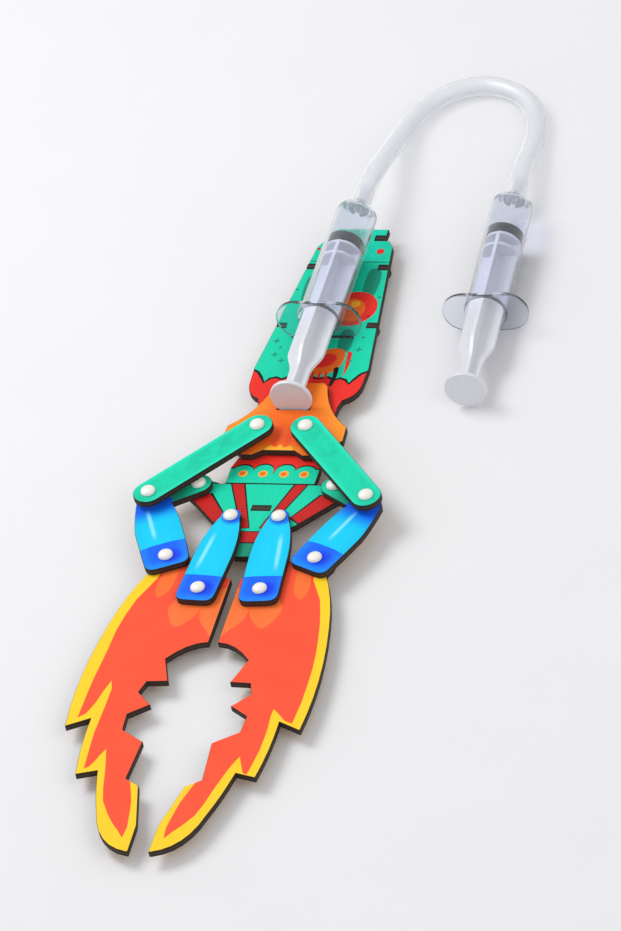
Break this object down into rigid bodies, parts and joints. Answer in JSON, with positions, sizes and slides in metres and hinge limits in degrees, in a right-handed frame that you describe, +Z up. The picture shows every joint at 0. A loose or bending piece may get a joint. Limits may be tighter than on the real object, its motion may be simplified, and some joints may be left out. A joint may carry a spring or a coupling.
{
  "type": "hydraulic gripper arm",
  "caption": "Flat plywood gripper arm with two flame-shaped jaws on a riveted parallel linkage, moved by a slider that one syringe pushes when another, joined by a clear hose, is worked.",
  "frame": {"origin": "middle of the head foot's underside, on the arm's centre line and on the surface it stands on", "axes": "+Y along the arm from the claw to the hose, +Z up, +X towards the control syringe"},
  "size_m": [0.1404, 0.4821, 0.027],
  "materials": {
    "base_print": "printed plywood, satin",
    "slider_print": "printed plywood, satin",
    "link_print": "printed plywood, satin",
    "crank_print": "printed plywood, satin",
    "finger_print": "printed plywood, satin",
    "jaw_print": "printed plywood, satin",
    "bare_plywood": "laser-cut birch plywood",
    "rivet_plastic": "white moulded nylon",
    "clear_barrel": "clear polypropylene",
    "milky_rod": "milky polypropylene",
    "black_seal": "matt black rubber",
    "clear_hose": "clear soft vinyl"
  },
  "bodies": {
    "root": {"base_plate": "base_print", "head_foot": "bare_plywood", "flange_rib": "bare_plywood", "middle_rib": "bare_plywood", "rear_rib": "bare_plywood", "base_rivets": "rivet_plastic", "base_rivet_caps": "rivet_plastic", "arm_barrel": "clear_barrel", "control_barrel": "clear_barrel", "hose": "clear_hose"},
    "slider": {"slider": "slider_print", "slider_rivets": "rivet_plastic", "slider_rivet_caps": "rivet_plastic", "slider_spacers": "rivet_plastic", "arm_plunger": "milky_rod", "arm_seal": "black_seal"},
    "control_plunger": {"control_plunger": "milky_rod", "control_seal": "black_seal"},
    "link_left": {"link_left": "link_print"},
    "crank_left": {"crank_left": "crank_print", "crank_rivet_left": "rivet_plastic", "crank_rivet_cap_left": "rivet_plastic", "crank_spacer_left": "rivet_plastic"},
    "finger_left": {"finger_left": "finger_print"},
    "jaw_left": {"jaw_left": "jaw_print", "jaw_rivets_left": "rivet_plastic", "jaw_rivet_caps_left": "rivet_plastic"},
    "link_right": {"link_right": "link_print"},
    "crank_right": {"crank_right": "crank_print", "crank_rivet_right": "rivet_plastic", "crank_rivet_cap_right": "rivet_plastic", "crank_spacer_right": "rivet_plastic"},
    "finger_right": {"finger_right": "finger_print"},
    "jaw_right": {"jaw_right": "jaw_print", "jaw_rivets_right": "rivet_plastic", "jaw_rivet_caps_right": "rivet_plastic"}
  },
  "joints": [
    {"name": "slider_slide", "type": "slide", "parent": "root", "child": "slider", "axis": [0, 1, 0], "range_m": [-0.0005, 0.009]},
    {"name": "control_plunger_slide", "type": "slide", "parent": "root", "child": "control_plunger", "axis": [0.0698, -0.9976, 0], "range_m": [-0.0005, 0.009]},
    {"name": "link_left_hinge", "type": "hinge", "parent": "slider", "child": "link_left", "pos_m": [-0.0105, 0.0415, 0.0151], "axis": [0, 0, 1], "range_deg": [-5.8, 0.4]},
    {"name": "crank_left_hinge", "type": "hinge", "parent": "root", "child": "crank_left", "pos_m": [-0.0295, 0.011, 0.0097], "axis": [0, 0, 1], "range_deg": [-36.4, 2.1]},
    {"name": "finger_left_hinge", "type": "hinge", "parent": "root", "child": "finger_left", "pos_m": [-0.0105, -0.0085, 0.0097], "axis": [0, 0, 1], "range_deg": [-36.4, 2.1]},
    {"name": "jaw_left_hinge", "type": "hinge", "parent": "crank_left", "child": "jaw_left", "pos_m": [-0.0325, -0.0335, 0.0097], "axis": [0, 0, 1], "range_deg": [-2.1, 36.4]},
    {"name": "link_right_hinge", "type": "hinge", "parent": "slider", "child": "link_right", "pos_m": [0.0105, 0.0415, 0.0151], "axis": [0, 0, 1], "range_deg": [-0.4, 5.8]},
    {"name": "crank_right_hinge", "type": "hinge", "parent": "root", "child": "crank_right", "pos_m": [0.0295, 0.011, 0.0097], "axis": [0, 0, 1], "range_deg": [-2.1, 36.4]},
    {"name": "finger_right_hinge", "type": "hinge", "parent": "root", "child": "finger_right", "pos_m": [0.0105, -0.0085, 0.0097], "axis": [0, 0, 1], "range_deg": [-2.1, 36.4]},
    {"name": "jaw_right_hinge", "type": "hinge", "parent": "crank_right", "child": "jaw_right", "pos_m": [0.0325, -0.0335, 0.0097], "axis": [0, 0, 1], "range_deg": [-36.4, 2.1]}
  ],
  "couplings": [
    {"joint": "control_plunger_slide", "follows": "slider_slide", "ratio": 1},
    {"joint": "link_left_hinge", "follows": "slider_slide", "rad_per_m": -11.17},
    {"joint": "crank_left_hinge", "follows": "slider_slide", "rad_per_m": -70.511},
    {"joint": "finger_left_hinge", "follows": "slider_slide", "rad_per_m": -70.511},
    {"joint": "jaw_left_hinge", "follows": "slider_slide", "rad_per_m": 70.511},
    {"joint": "link_right_hinge", "follows": "slider_slide", "rad_per_m": 11.17},
    {"joint": "crank_right_hinge", "follows": "slider_slide", "rad_per_m": 70.511},
    {"joint": "finger_right_hinge", "follows": "slider_slide", "rad_per_m": 70.511},
    {"joint": "jaw_right_hinge", "follows": "slider_slide", "rad_per_m": -70.511}
  ]
}
